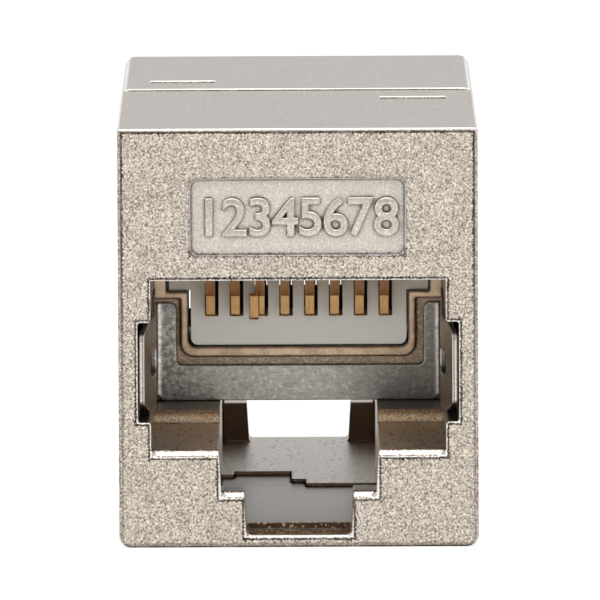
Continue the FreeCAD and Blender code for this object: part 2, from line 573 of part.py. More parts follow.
def bend(body, name, place, middle):
    """The rounded bend between two strips."""
    sketch = body.newObject("Sketcher::SketchObject", name + "_profile")
    support = [item for item in body.Origin.OriginFeatures if item.Role == "YZ_Plane"][0]
    sketch.AttachmentSupport = [(support, "")]
    sketch.MapMode = "FlatFace"
    sketch.setExpression(".AttachmentOffset.Base.z", bound(middle))
    centre = FreeCAD.Vector(number(place[0]), number(place[1]), 0)
    sketch.addGeometry(Part.Circle(centre, FreeCAD.Vector(0, 0, 1), number("pin_gauge / 2")), False)
    for kind, value, text in (("DistanceX", centre.x, place[0]), ("DistanceY", centre.y, place[1])):
        held = sketch.addConstraint(Sketcher.Constraint(kind, -1, 1, 0, 3, value))
        sketch.setExpression(f"Constraints[{held}]", bound(text))
    held = sketch.addConstraint(Sketcher.Constraint("Radius", 0, number("pin_gauge / 2")))
    sketch.setExpression(f"Constraints[{held}]", bound("pin_gauge / 2"))
    pad(body, name, sketch, "pin_width", both=True)


def make_contact(label, rear, position, bent):
    """A gold-plated strip: a riser from the board, a heel, a knee and a leg up to the roof groove."""
    body = new_body(label, turned=rear)
    middle = f"({position} - (pin_count + 1) / 2) * pin_pitch - pin_shift"
    tip = ("tip_depth - half_length", "tip_height")
    knee = ("knee_depth - half_length", "knee_height")
    heel = ("heel_depth - half_length", "heel_height")
    foot = ("riser_depth - half_length", "riser_foot")
    tail = (foot[0], "carrier_top + board_rest + board_gauge + tail_height")
    strips = [("leg", tip, knee, middle), ("shin", knee, heel, middle),
              ("sole", heel, foot, middle), ("riser", foot, tail, middle)]
    bends = [("knee", knee, middle), ("heel", heel, middle), ("foot", foot, middle)]
    if bent:
        aside = f"{middle} - bent_aside"
        high = ("knee_depth - bent_ahead - half_length", "knee_height - bent_down")
        low = ("heel_depth - bent_ahead - half_length", "heel_height - bent_down")
        strips.append(("split_shin", high, low, aside))
        bends += [("split_top", high, aside), ("split_end", low, aside)]
    for name, start, end, place in strips:
        sketch = outline(body, name + "_profile", "YZ", place, strip_points(start, end))
        pad(body, name, sketch, "pin_width", both=True)
    for name, corner, place in bends:
        bend(body, name, corner, place)
    return body


# ---------------------------------------------------------------- circuit board

def make_circuit_board():
    """The board that carries all the contacts and crosses their tracks over."""
    body = new_body("circuit_board")
    rest = "carrier_top + board_rest"
    end = "half_length - front_wall - board_end"
    sheet = box_outline(body, "board_profile", "XY", rest, "-board_width / 2", "board_width / 2",
                        f"-({end})", end)
    pad(body, "board", sheet, "board_gauge")
    left, right = first_slot("(pin_width + 2 * solder_gap)")
    for name, sign, aside in (("front_hole", "-", "- pin_shift"), ("rear_hole", "", "+ pin_shift")):
        place = f"{sign}(half_length - riser_depth)"
        hole = box_outline(body, name + "_profile", "XY", f"{rest} + board_gauge",
                           f"{left} {aside}", f"{right} {aside}",
                           f"{place} - pin_gauge / 2 - solder_gap", f"{place} + pin_gauge / 2 + solder_gap")
        comb(body, name, hole, "board_gauge")
    return body


def build():
    """Make every piece, front half first."""
    pieces = [make_circuit_board()]
    for end, rear in (("front", False), ("rear", True)):
        pieces.append(make_housing(f"{end}_housing", rear))
        pieces.append(make_shield_spring(f"{end}_shield_spring", rear))
        pieces.append(make_contact_carrier(f"{end}_contact_carrier", rear))
        for position in range(1, int(number("pin_count")) + 1):
            bent = not rear and position == int(number("bent_pin"))
            pieces.append(make_contact(f"{end}_contact_{position}", rear, position, bent))
    return pieces


def check_and_write(pieces):
    """Stop on any failed object or bad shape, then write one STEP file for each piece."""
    DOC.recompute()
    for item in DOC.Objects:
        if "Invalid" in item.State or "Error" in item.State:
            raise RuntimeError(f"{item.Name} failed: {item.State}")
    for piece in pieces:
        shape = piece.Shape
        if shape.isNull() or not shape.isValid() or len(shape.Solids) != 1:
            raise RuntimeError(f"{piece.Label} is not one valid solid")
    os.makedirs("parts", exist_ok=True)
    for piece in pieces:
        piece.Shape.exportStep(f"parts/{piece.Label}.step")
        print(f"{piece.Label}: {piece.Shape.Volume:.3f} mm3")


check_and_write(build())
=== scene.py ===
import math
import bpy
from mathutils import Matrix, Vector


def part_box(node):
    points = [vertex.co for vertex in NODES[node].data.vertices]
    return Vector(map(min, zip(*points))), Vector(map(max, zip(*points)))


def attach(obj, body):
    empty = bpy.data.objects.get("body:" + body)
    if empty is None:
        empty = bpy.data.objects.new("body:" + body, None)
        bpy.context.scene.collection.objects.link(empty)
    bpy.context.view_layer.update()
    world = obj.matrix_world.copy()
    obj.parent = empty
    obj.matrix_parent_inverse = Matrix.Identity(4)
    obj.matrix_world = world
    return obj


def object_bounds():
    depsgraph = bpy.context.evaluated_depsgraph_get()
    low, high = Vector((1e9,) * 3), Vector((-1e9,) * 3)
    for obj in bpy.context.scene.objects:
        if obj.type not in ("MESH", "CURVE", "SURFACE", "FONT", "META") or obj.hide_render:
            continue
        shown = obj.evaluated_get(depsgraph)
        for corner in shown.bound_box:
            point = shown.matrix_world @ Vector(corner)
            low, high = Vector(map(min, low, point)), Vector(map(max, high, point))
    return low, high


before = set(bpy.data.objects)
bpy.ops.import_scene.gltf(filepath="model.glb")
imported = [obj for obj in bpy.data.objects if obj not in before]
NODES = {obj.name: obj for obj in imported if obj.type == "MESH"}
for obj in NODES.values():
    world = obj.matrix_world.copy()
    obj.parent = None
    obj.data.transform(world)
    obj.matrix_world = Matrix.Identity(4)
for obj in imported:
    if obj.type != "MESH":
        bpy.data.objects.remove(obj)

from types import SimpleNamespace

import bpy
from bpy.props import FloatProperty, FloatVectorProperty, PointerProperty
from mathutils import Matrix, Vector

bl_info = {
    "name": "Inline Coupler",
    "version": (1, 0, 0),
    "blender": (4, 5, 0),
    "location": "3D View > Sidebar > Coupler",
    "description": "Dresses a shielded RJ45 inline coupler: die-cast nickel, steel, nylon and gold",
    "category": "Object",
}

MILLIMETRE = 0.001
FLUSH = 0.001 * MILLIMETRE
FAR_CORNER = (-1, -2, -3)
BODY = "root"
CAD_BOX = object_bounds()
SHIELDS = ("front_shield_spring", "rear_shield_spring")
CARRIERS = ("front_contact_carrier", "rear_contact_carrier")
CONTACTS = sorted(name for name in NODES if "_contact_" in name and name not in CARRIERS)
FRONT_CONTACTS = [name for name in CONTACTS if name.startswith("front")]
# Boxes in the end face, in millimetres: half the width, lower edge, upper edge.
OPENING = ((5.95, 3.69, 10.85), (6.48, 5.08, 9.15), (3.2, 2.0, 3.95), (2.17, 0.42, 2.27))
FIELD = (4.32, 11.86, 14.95)
END_FACE = (7.25, 0.0, 17.0)
# Spans in millimetres, as depth behind the nearer end face, height above the underside, or way across.
SKIN = 0.4
FIELD_FLOOR = (0.1, 0.3)
LIP_DEPTH, LIP_HEIGHT = (1.77, 1.8), (0.8, 0.84)
STEP_DEPTH, STEP_HEIGHT = (8.2, 8.85), (3.9, 4.5)
BULKHEAD, RECESS = (9.5, 10.5), (11.6, 11.8)
MOUTH, LEDGE, LOW_FLOOR = (1.5, 4.5), (3.7, 4.1), (1.2, 1.4)
BEND_ACROSS, BEND_DEPTH = (5.56, 5.68), (11.1, 11.4)
TIP_ACROSS, TIP_DEPTH = (6.29, 6.33), (1.3, 1.7)
TRACK_PITCH = 1.02
WAVE_SHARE = 0.314      # one wave for each pitch
DIGIT_SHARE = 0.7       # height of a digit as a share of the lettering's size
# Colours of painted highlights, painted shade and painted reflections, with painted glints in some of them,
# and of the darker patches and flecks on the floors inside.
HIGHLIGHT_METAL = (0.97, 0.95, 0.92)
STEP_HIGHLIGHT, BRIGHT_GLINT = (1.0, 0.80, 0.55), (1.0, 0.97, 0.9)
LIP_SHADE, LIP_GLINT = (0.16, 0.10, 0.062), (0.85, 0.70, 0.48)
MOUTH_SHADE, MOUTH_GLINT = (0.12, 0.06, 0.03), (0.95, 0.72, 0.42)
FLOOR_DARK, DEEP_EDGE_SHADE = (0.12, 0.085, 0.055), (0.12, 0.07, 0.04)
STEEL_HIGHLIGHT, WING_REFLECTION, TIP_SHADE = (0.95, 0.94, 0.91), (0.30, 0.215, 0.14), (0.34, 0.25, 0.17)
GOLD_HIGHLIGHT, NYLON_CORNER_SHADE = (1.0, 0.80, 0.56), (0.2, 0.13, 0.08)


# ---------------------------------------------------------------- sizes and colours

class CouplerFinish(bpy.types.PropertyGroup):
    """Colours and grain of the coupler's materials, and the colours of the painted light and shade on them.
    """
    nickel: FloatVectorProperty(
        name="Nickel", description="Colour of the sandy plating outside", subtype="COLOR",
        size=3, min=0, max=1, default=(0.76, 0.69, 0.60))
    nickel_pit: FloatVectorProperty(
        name="Nickel pits", description="Colour in the plating's fine pits", subtype="COLOR",
        size=3, min=0, max=1, default=(0.25, 0.20, 0.155))
    # also the painted reflection on ceilings inside and the painted highlight on edges near the mouth
    nickel_field_and_highlight: FloatVectorProperty(
        name="Nickel in the field", description="Paler, more even plating in the sunk field",
        subtype="COLOR", size=3, min=0, max=1, default=(0.94, 0.91, 0.85))
    nickel_level: FloatVectorProperty(
        name="Nickel on top", description="Colour of the calmer level faces", subtype="COLOR",
        size=3, min=0, max=1, default=(0.475, 0.42, 0.375))
    nickel_rim: FloatVectorProperty(
        name="Nickel rim", description="Colour of the smooth faces deep in the plug opening",
        subtype="COLOR", size=3, min=0, max=1, default=(0.70, 0.52, 0.36))
    nickel_inside: FloatVectorProperty(
        name="Nickel inside", description="Browner plating on the walls inside", subtype="COLOR",
        size=3, min=0, max=1, default=(0.50, 0.40, 0.30))
    # painted shade on the walls that look into the block
    inward_shade: FloatVectorProperty(
        name="Shade looking inward", description="Colour of the walls that look into the block",
        subtype="COLOR", size=3, min=0, max=1, default=(0.22, 0.15, 0.105))
    # painted shade in corners, beside edges and in the lines on the end faces
    painted_shade: FloatVectorProperty(
        name="Corner and edge shade", description="Colour of the painted shade in corners and beside edges", subtype="COLOR",
        size=3, min=0, max=1, default=(0.045, 0.03, 0.02))
    grain: FloatProperty(
        name="Grain", description="Size of the casting's grain", subtype="DISTANCE", unit="LENGTH",
        min=0, default=0.085 * MILLIMETRE)
    # rounds the shading normals and sets the width of the painted edge highlight and its border of painted
    # shade
    edge: FloatProperty(
        name="Edge rounding and highlight", description="Width of the bright edges with their dark border",
        subtype="DISTANCE", unit="LENGTH", min=0, default=0.17 * MILLIMETRE)
    steel: FloatVectorProperty(
        name="Steel", description="Colour of the shield sheet", subtype="COLOR",
        size=3, min=0, max=1, default=(0.55, 0.535, 0.475))
    gold: FloatVectorProperty(
        name="Gold", description="Colour of the contact plating", subtype="COLOR",
        size=3, min=0, max=1, default=(1.0, 0.60, 0.27))
    nylon: FloatVectorProperty(
        name="Nylon", description="Colour of the contact carriers", subtype="COLOR",
        size=3, min=0, max=1, default=(0.96, 0.96, 0.91))
    # a dark sheet that stands in for the shade between the carriers
    foil: FloatVectorProperty(
        name="Foil", description="Colour of the dark foil that stands in for shade between the carriers", subtype="COLOR",
        size=3, min=0, max=1, default=(0.035, 0.024, 0.016))
    lacquer: FloatVectorProperty(
        name="Lacquer", description="Colour of the board's lacquer", subtype="COLOR",
        size=3, min=0, max=1, default=(0.02, 0.14, 0.05))


class CouplerMarking(bpy.types.PropertyGroup):
    """The small numbers in the sunk field, one over each contact."""
    height: FloatProperty(
        name="Height", description="Height of a number", subtype="DISTANCE", unit="LENGTH",
        min=0, default=1.5 * MILLIMETRE)
    relief: FloatProperty(
        name="Relief", description="How far a number stands off the field", subtype="DISTANCE",
        unit="LENGTH", min=0, default=0.17 * MILLIMETRE)
    rounding: FloatProperty(
        name="Rounding", description="Rounded edge of a number", subtype="DISTANCE", unit="LENGTH",
        min=0, default=0.06 * MILLIMETRE)
    field_sink: FloatProperty(
        name="Field depth", description="How deep the field is sunk", subtype="DISTANCE", unit="LENGTH",
        min=0, default=0.2 * MILLIMETRE)
    field_middle: FloatProperty(
        name="Field height", description="Height of the field's middle above the underside",
        subtype="DISTANCE", unit="LENGTH", min=0, default=13.4 * MILLIMETRE)


class CouplerFoil(bpy.types.PropertyGroup):
    """The dark foil between the two contact carriers, a sheet that stands in for the shade there."""
    width: FloatProperty(
        name="Width", description="Side to side", subtype="DISTANCE", unit="LENGTH",
        min=0, default=9.03 * MILLIMETRE)
    low: FloatProperty(
        name="Low edge", description="Height of its lower edge above the underside", subtype="DISTANCE",
        unit="LENGTH", min=0, default=7.2 * MILLIMETRE)
    shoulder: FloatProperty(
        name="Shoulder", description="Height above which its left edge is cut back", subtype="DISTANCE",
        unit="LENGTH", min=0, default=7.98 * MILLIMETRE)
    cut_back: FloatProperty(
        name="Cut back", description="How far its left edge is cut back", subtype="DISTANCE",
        unit="LENGTH", min=0, default=0.13 * MILLIMETRE)
    dip: FloatProperty(
        name="Dip", description="Height of the cut-out in its upper edge", subtype="DISTANCE",
        unit="LENGTH", min=0, default=8.93 * MILLIMETRE)
    dip_width: FloatProperty(
        name="Dip width", description="Width of that cut-out", subtype="DISTANCE", unit="LENGTH",
        min=0, default=4.0 * MILLIMETRE)
    high: FloatProperty(
        name="High edge", description="Height of its upper edge", subtype="DISTANCE", unit="LENGTH",
        min=0, default=12.8 * MILLIMETRE)
    gauge: FloatProperty(
        name="Thickness", description="Thickness of the foil", subtype="DISTANCE", unit="LENGTH",
        min=0, default=0.05 * MILLIMETRE)


class CouplerStage(bpy.types.PropertyGroup):
    """Floor, light and camera."""
    elevation: FloatProperty(
        name="Elevation", description="How far above the horizon the camera stands", subtype="ANGLE",
        unit="ROTATION", default=math.radians(6.98))
    roll: FloatProperty(
        name="Roll", description="Small turn of the camera about its own axis", subtype="ANGLE",
        unit="ROTATION", default=math.radians(0.27))
    distance: FloatProperty(
        name="Distance", description="Camera to the middle of the block, along the floor",
        subtype="DISTANCE", unit="LENGTH", min=0, default=534.5 * MILLIMETRE)
    aim_height: FloatProperty(
        name="Aim height", description="Height of the point that the camera looks at",
        subtype="DISTANCE", unit="LENGTH", default=8.3 * MILLIMETRE)
    aim_side: FloatProperty(
        name="Aim side", description="How far right of the middle the camera looks",
        subtype="DISTANCE", unit="LENGTH", default=0.08 * MILLIMETRE)
    lens: FloatProperty(name="Lens", description="Focal length in millimetres", min=1, default=781.2)
    floor: FloatVectorProperty(
        name="Floor", description="Colour of the floor", subtype="COLOR", size=3, min=0, max=1,
        default=(0.93, 0.93, 0.93))
    glow: FloatProperty(
        name="Clean floor", description="How much the camera sees a plain white floor", subtype="FACTOR",
        min=0, max=1, default=0.8)
    sky: FloatProperty(name="Sky", description="Strength of the light from all round", min=0, default=1.05)
    dark_side: FloatProperty(
        name="Dark side", description="Strength of what metal mirrors from the camera's side of the room",
        min=0, default=0.12)
    top_light: FloatProperty(
        name="Top light", description="Power of the softbox overhead", subtype="POWER", unit="POWER",
        min=0, default=2.2)
    front_light: FloatProperty(
        name="Front light", description="Power of the small softbox in front", subtype="POWER", unit="POWER",
        min=0, default=0.3)
    side_light: FloatProperty(
        name="Side light", description="Power of each softbox at the side", subtype="POWER", unit="POWER",
        min=0, default=0.2)


# ---------------------------------------------------------------- values and patterns

def new_material(name):
    """An empty node material with a Principled shader."""
    material = bpy.data.materials.new(name)
    material.use_nodes = True
    tree = material.node_tree
    tree.nodes.clear()
    output = tree.nodes.new("ShaderNodeOutputMaterial")
    shader = tree.nodes.new("ShaderNodeBsdfPrincipled")
    tree.links.new(shader.outputs["BSDF"], output.inputs["Surface"])
    return material, tree, shader


def feed(tree, socket, value):
    """Link a socket to another one, or set it to a plain value."""
    if isinstance(value, bpy.types.NodeSocket):
        tree.links.new(value, socket)
    else:
        socket.default_value = value


def finish_shader(tree, shader, colour, roughness, normal):
    """Give a shader its patterned colour, roughness and normal."""
    for name, value in (("Base Color", colour), ("Roughness", roughness), ("Normal", normal)):
        tree.links.new(value, shader.inputs[name])


def tinted(colour, red, green=None, blue=None):
    """A colour whose channels are multiplied, up to white."""
    factors = (red, green or red, blue or red)
    return tuple(min(1, channel * factor) for channel, factor in zip(colour, factors))


def place(tree, stretch=(1, 1, 1)):
    """Object coordinates, stretched along an axis where a pattern has a direction."""
    coords = tree.nodes.new("ShaderNodeTexCoord")
    mapping = tree.nodes.new("ShaderNodeMapping")
    mapping.inputs["Scale"].default_value = stretch
    tree.links.new(coords.outputs["Object"], mapping.inputs["Vector"])
    return mapping.outputs["Vector"]


def axes(tree, vector):
    """The three parts of a vector."""
    node = tree.nodes.new("ShaderNodeSeparateXYZ")
    tree.links.new(vector, node.inputs["Vector"])
    return node.outputs


def noise(tree, vector, size, detail=2.0, roughness=0.5):
    """A noise whose features are about the given size."""
    node = tree.nodes.new("ShaderNodeTexNoise")
    node.inputs["Scale"].default_value = 1 / size
    node.inputs["Detail"].default_value = detail
    node.inputs["Roughness"].default_value = roughness
    tree.links.new(vector, node.inputs["Vector"])
    return node.outputs["Fac"]


def grains(tree, vector, size):
    """A random value for each grain of about the given size."""
    cells = tree.nodes.new("ShaderNodeTexVoronoi")
    cells.inputs["Scale"].default_value = 1 / size
    tree.links.new(vector, cells.inputs["Vector"])
    split = tree.nodes.new("ShaderNodeSeparateColor")
    tree.links.new(cells.outputs["Color"], split.inputs["Color"])
    return split.outputs["Red"]


def calculate(tree, kind, *values):
    """One sum on values, given as numbers or as sockets."""
    node = tree.nodes.new("ShaderNodeMath")
    node.operation = kind
    for socket, value in zip(node.inputs, values):
        feed(tree, socket, value)
    return node.outputs["Value"]


def times(tree, *values):
    """The product of values, given as numbers or as sockets."""
    total = values[0]
    for value in values[1:]:
        total = calculate(tree, "MULTIPLY", total, value)
    return total


def plus(tree, first, second):
    """The sum of two values."""
    return calculate(tree, "ADD", first, second)


def minus(tree, first, second):
    """The first value less the second."""
    return calculate(tree, "SUBTRACT", first, second)


def larger(tree, first, second):
    """The larger of two values."""
    return calculate(tree, "MAXIMUM", first, second)


def absolute(tree, value):
    """A value without its sign."""
    return calculate(tree, "ABSOLUTE", value)


def flipped(tree, value):
    """One minus a value."""
    return minus(tree, 1, value)


def ramp(tree, value, low, high, start=0.0, end=1.0):
    """Spread a value between two others, smoothly."""
    node = tree.nodes.new("ShaderNodeMapRange")
    node.interpolation_type = "SMOOTHSTEP"
    node.inputs["From Min"].default_value = low
    node.inputs["From Max"].default_value = high
    node.inputs["To Min"].default_value = start
    node.inputs["To Max"].default_value = end
    tree.links.new(value, node.inputs["Value"])
    return node.outputs["Result"]


def ramp_mm(tree, length, low, high, start=0.0, end=1.0):
    """Spread a length between two others, which are in millimetres."""
    return ramp(tree, length, low * MILLIMETRE, high * MILLIMETRE, start, end)


def between(tree, value, low, high, soft):
    """1 where a value lies between two others, with soft borders."""
    return times(tree, ramp(tree, value, low, low + soft), ramp(tree, value, high - soft, high, 1, 0))


def between_mm(tree, length, low, high, soft):
    """1 where a length lies between two others in millimetres, with soft borders."""
    return between(tree, length, low * MILLIMETRE, high * MILLIMETRE, soft * MILLIMETRE)


def blend(tree, factor, first, second):
    """Mix two colours, given as values or as sockets."""
    node = tree.nodes.new("ShaderNodeMix")
    node.data_type = "RGBA"
    tree.links.new(factor, node.inputs["Factor"])
    for name, colour in (("A", first), ("B", second)):
        feed(tree, node.inputs[name], colour if isinstance(colour, bpy.types.NodeSocket) else (*colour, 1))
    return node.outputs["Result"]


def pick(tree, factor, first, second):
    """The first value where the factor is 0, the second where it is 1."""
    node = tree.nodes.new("ShaderNodeMix")
    tree.links.new(factor, node.inputs["Factor"])
    feed(tree, node.inputs["A"], first)
    feed(tree, node.inputs["B"], second)
    return node.outputs["Result"]


def bump(tree, height, depth, strength=1.0, below=None):
    """Turn a height pattern of a given depth into a normal, on top of another one."""
    node = tree.nodes.new("ShaderNodeBump")
    node.inputs["Distance"].default_value = depth
    feed(tree, node.inputs["Strength"], strength)
    tree.links.new(height, node.inputs["Height"])
    if below:
        tree.links.new(below, node.inputs["Normal"])
    return node.outputs["Normal"]


# ---------------------------------------------------------------- where a point lies

def face_normal(tree):
    """The parts of the direction that a face looks in."""
    return axes(tree, tree.nodes.new("ShaderNodeNewGeometry").outputs["True Normal"])


def looks_up(tree):
    """1 on faces that look up."""
    return ramp(tree, face_normal(tree)["Z"], 0.3, 0.9)


def looks_along(tree):
    """1 on faces that look along the block, either way."""
    return ramp(tree, absolute(tree, face_normal(tree)["Y"]), 0.75, 0.95)


def looks_sideways(tree):
    """1 on faces that look to either side."""
    return ramp(tree, absolute(tree, face_normal(tree)["X"]), 0.75, 0.95)


def looks_inward(tree):
    """1 on faces that look from an end into the block."""
    outward = times(tree, face_normal(tree)["Y"], axes(tree, place(tree))["Y"])
    return ramp_mm(tree, outward, -6, -2, 1, 0)


def end_depth(tree):
    """How deep behind the nearer end face a point lies."""
    return minus(tree, CAD_BOX[1].y, absolute(tree, axes(tree, place(tree))["Y"]))


def front_half(tree):
    """1 in the front half of the block, 0 in the rear half."""
    return ramp_mm(tree, axes(tree, place(tree))["Y"], -2, -1, 1, 0)


def inside_block(tree, depth):
    """0 on the outer faces of the block, 1 deeper inside it than the given depth."""
    parts = axes(tree, place(tree))
    within = []
    for axis, low, high in zip("XYZ", *CAD_BOX):
        off = absolute(tree, minus(tree, parts[axis], (low + high) / 2))
        reach = (high - low) / 2
        within.append(ramp(tree, off, reach - depth, reach - depth / 3, 1, 0))
    return times(tree, *within)


def corners(tree, distance):
    """1 in tight corners, 0 in the open."""
    node = tree.nodes.new("ShaderNodeAmbientOcclusion")
    node.samples = 6
    node.inputs["Distance"].default_value = distance
    return ramp(tree, node.outputs["AO"], 0.4, 0.88, 1, 0)


def rounded(tree, radius):
    """Normals rounded over the sharp edges, and masks of the edge itself and of the narrow border beside it,
    where highlight and shade are painted.
    """
    soft = tree.nodes.new("ShaderNodeBevel")
    soft.samples = 10
    soft.inputs["Radius"].default_value = radius
    geometry = tree.nodes.new("ShaderNodeNewGeometry")
    match = tree.nodes.new("ShaderNodeVectorMath")
    match.operation = "DOT_PRODUCT"
    tree.links.new(soft.outputs["Normal"], match.inputs[0])
    tree.links.new(geometry.outputs["Normal"], match.inputs[1])
    near = match.outputs["Value"]
    border = times(tree, ramp(tree, near, 0.74, 0.84), ramp(tree, near, 0.99, 0.9995, 1, 0))
    return soft.outputs["Normal"], ramp(tree, near, 0.82, 0.92, 1, 0), border


def past_box(tree, across, height, half_width, low, high):
    """How far outside a box in the end face a point lies, less than 0 inside it."""
    beside = minus(tree, across, half_width * MILLIMETRE)
    off = absolute(tree, minus(tree, height, (low + high) / 2 * MILLIMETRE))
    return larger(tree, beside, minus(tree, off, (high - low) / 2 * MILLIMETRE))


# ---------------------------------------------------------------- materials

def casting_surface(tree, finish, relief):
    """What the finishes of a casting share: its grain, its edges, and where on it a point lies."""
    vector, drawn_out = place(tree), place(tree, (1, 0.3, 1))
    parts = axes(tree, vector)
    depth, height = end_depth(tree), parts["Z"]
    upward = face_normal(tree)["Z"]
    fine = noise(tree, vector, finish.grain, detail=4, roughness=0.7)
    normal, edge, border = rounded(tree, finish.edge * (0.2 + 0.8 * relief))
    step = times(tree, between_mm(tree, depth, *STEP_DEPTH, 0.1),
                 between_mm(tree, height, *STEP_HEIGHT, 0.05))
    lip = times(tree, ramp_mm(tree, depth, *LIP_DEPTH, 1, 0), ramp_mm(tree, height, *LIP_HEIGHT, 1, 0),
                front_half(tree))
    return SimpleNamespace(
        across=absolute(tree, parts["X"]), height=height, depth=depth,
        inside=inside_block(tree, SKIN * MILLIMETRE), deep=ramp_mm(tree, depth, *BULKHEAD),
        step=step, lip=lip, upward=upward, level=looks_up(tree), along=looks_along(tree),
        sideways=looks_sideways(tree), normal=normal, edge=edge, border=border,
        # painted highlight: the edges and the slanted faces that look up towards the softbox
        painted_highlight=larger(tree, edge, between(tree, upward, 0.48, 0.92, 0.12)),
        fine=fine, jag=times(tree, minus(tree, fine, 0.5), 0.3 * MILLIMETRE),
        drawn=noise(tree, drawn_out, finish.grain, detail=4, roughness=0.7),
        coarse=noise(tree, vector, finish.grain * 9, detail=2),
        speck=ramp(tree, grains(tree, vector, finish.grain * 0.7), 0.84, 0.92),
        fleck=ramp(tree, grains(tree, drawn_out, finish.grain * 1.2), 0.9, 0.95),
        glint=ramp(tree, grains(tree, vector, finish.grain), 0.82, 0.9))


def end_face_lines(tree, surface):
    """Jagged lines of painted shade round the opening, the field and the outline, and a painted highlight
    along the opening.
    """
    *gaps, field, outline = [past_box(tree, surface.across, surface.height, *box)
                             for box in (*OPENING, FIELD, END_FACE)]
    gap = gaps[0]
    for other in gaps[1:]:
        gap = calculate(tree, "MINIMUM", gap, other)
    sill = times(tree, ramp_mm(tree, surface.height, 12, 12.3, 1, 0.35), front_half(tree))
    fade = ramp_mm(tree, surface.height, 2, 15, 0.35, 1)
    lines = 0
    for distance, low, high, weight in ((gap, 0.035, 0.14, 1),
                                        (absolute(tree, field), 0, 0.07, sill),
                                        (times(tree, outline, -1), 0.11, 0.22, fade)):
        line = between_mm(tree, plus(tree, distance, surface.jag), low, high, 0.02)
        lines = larger(tree, lines, times(tree, line, weight))
    return lines, between_mm(tree, plus(tree, gap, surface.jag), -0.06, 0.035, 0.01)


def outer_plating(tree, finish, surface, relief):
    """Colour outside: sandy ends and sides, a calmer top, a painted highlight on edges and slanted faces, and
    lines of painted shade on the ends.
    """
    pits = ramp(tree, surface.fine, 0.37, 0.57, 1 - relief, 1)
    mottled = ramp(tree, surface.coarse, 0.3, 0.7, 1 - 0.18 * relief, 1)
    sandy = blend(tree, times(tree, pits, mottled), finish.nickel_pit, finish.nickel)
    sandy = blend(tree, times(tree, surface.speck, 0.8), sandy, tinted(finish.nickel, 1.3))
    field = times(tree, surface.along, between_mm(tree, surface.depth, *FIELD_FLOOR, 0.05))
    sandy = blend(tree, times(tree, field, 0.6), sandy, finish.nickel_field_and_highlight)
    # painted shade in a broken border beside the edges
    edge_shade = times(tree, surface.border, ramp(tree, surface.fine, 0.48, 0.62, 1, 0.25))
    sandy = blend(tree, times(tree, edge_shade, 0.45), sandy, finish.painted_shade)

    shade = tinted(finish.nickel_level, 0.86)
    top = blend(tree, ramp(tree, surface.drawn, 0.4, 0.6), shade, finish.nickel_level)
    top = blend(tree, times(tree, surface.fleck, 0.3), top, finish.nickel)
    outer = blend(tree, times(tree, surface.level, 0.95), sandy, top)

    lines, opening_highlight = end_face_lines(tree, surface)
    flat = times(tree, surface.along, ramp_mm(tree, surface.depth, 0.02, 0.1, 1, 0))
    # painted highlight on edges, on slanted faces and along the opening
    outer = blend(tree, larger(tree, surface.painted_highlight, times(tree, opening_highlight, flat)), outer, HIGHLIGHT_METAL)
    # painted shade: jagged lines on the end faces, patchy and weaker deeper in
    shallow = ramp_mm(tree, surface.depth, 0.02, 0.24, 0.95, 0.7)
    patchy = ramp(tree, surface.coarse, 0.35, 0.55, 0.75, 1)
    return blend(tree, times(tree, lines, surface.along, shallow, patchy), outer, finish.painted_shade)


def inner_walls(tree, finish, surface):
    """Colour of the walls, ceilings and end faces inside, with painted shade in the recess and on walls that
    look into the block, and ceilings made paler as a painted reflection.
    """
    brown = tinted(finish.nickel_inside, 0.7)
    tan = tinted(finish.nickel_rim, 0.72)
    rim = blend(tree, ramp(tree, surface.coarse, 0.4, 0.6), tan, finish.nickel_rim)
    ends = blend(tree, surface.deep, brown, rim)
    # painted shade in the recess
    recess = times(tree, ramp_mm(tree, surface.depth, *RECESS), ramp(tree, surface.fine, 0.35, 0.65, 1, 0.5))
    ends = blend(tree, recess, ends, tinted(brown, 0.7))

    walls = blend(tree, ramp(tree, surface.fine, 0.4, 0.6), brown, finish.nickel_inside)
    # painted reflection: faces that look down are paler
    ceiling = ramp(tree, surface.upward, -0.95, -0.75, 1, 0)
    walls = blend(tree, ceiling, walls, finish.nickel_field_and_highlight)
    walls = blend(tree, surface.along, walls, ends)
    walls = blend(tree, times(tree, surface.speck, 0.45), walls, finish.nickel)
    # painted shade on walls that look into the block
    return blend(tree, looks_inward(tree), walls, finish.inward_shade)


def inner_floors(tree, surface, floor):
    """Colour of the floors inside: warm on the ledges, darker in noisy patches, most of all low in the
    thumb-tab slot, and with dark flecks.
    """
    ledge = between_mm(tree, surface.height, *LEDGE, 0.05)
    floors = blend(tree, ledge, floor, tinted(floor, 3.2, 2.9, 2.6))
    share = ramp_mm(tree, surface.height, *LOW_FLOOR, 0.75, 0.5)
    # darker in noisy patches, more on the low floors
    darker_patches = times(tree, ramp(tree, surface.fine, 0.38, 0.5, 1, 0), share)
    floors = blend(tree, darker_patches, floors, FLOOR_DARK)
    return blend(tree, times(tree, surface.fleck, 0.8), floors, FLOOR_DARK)


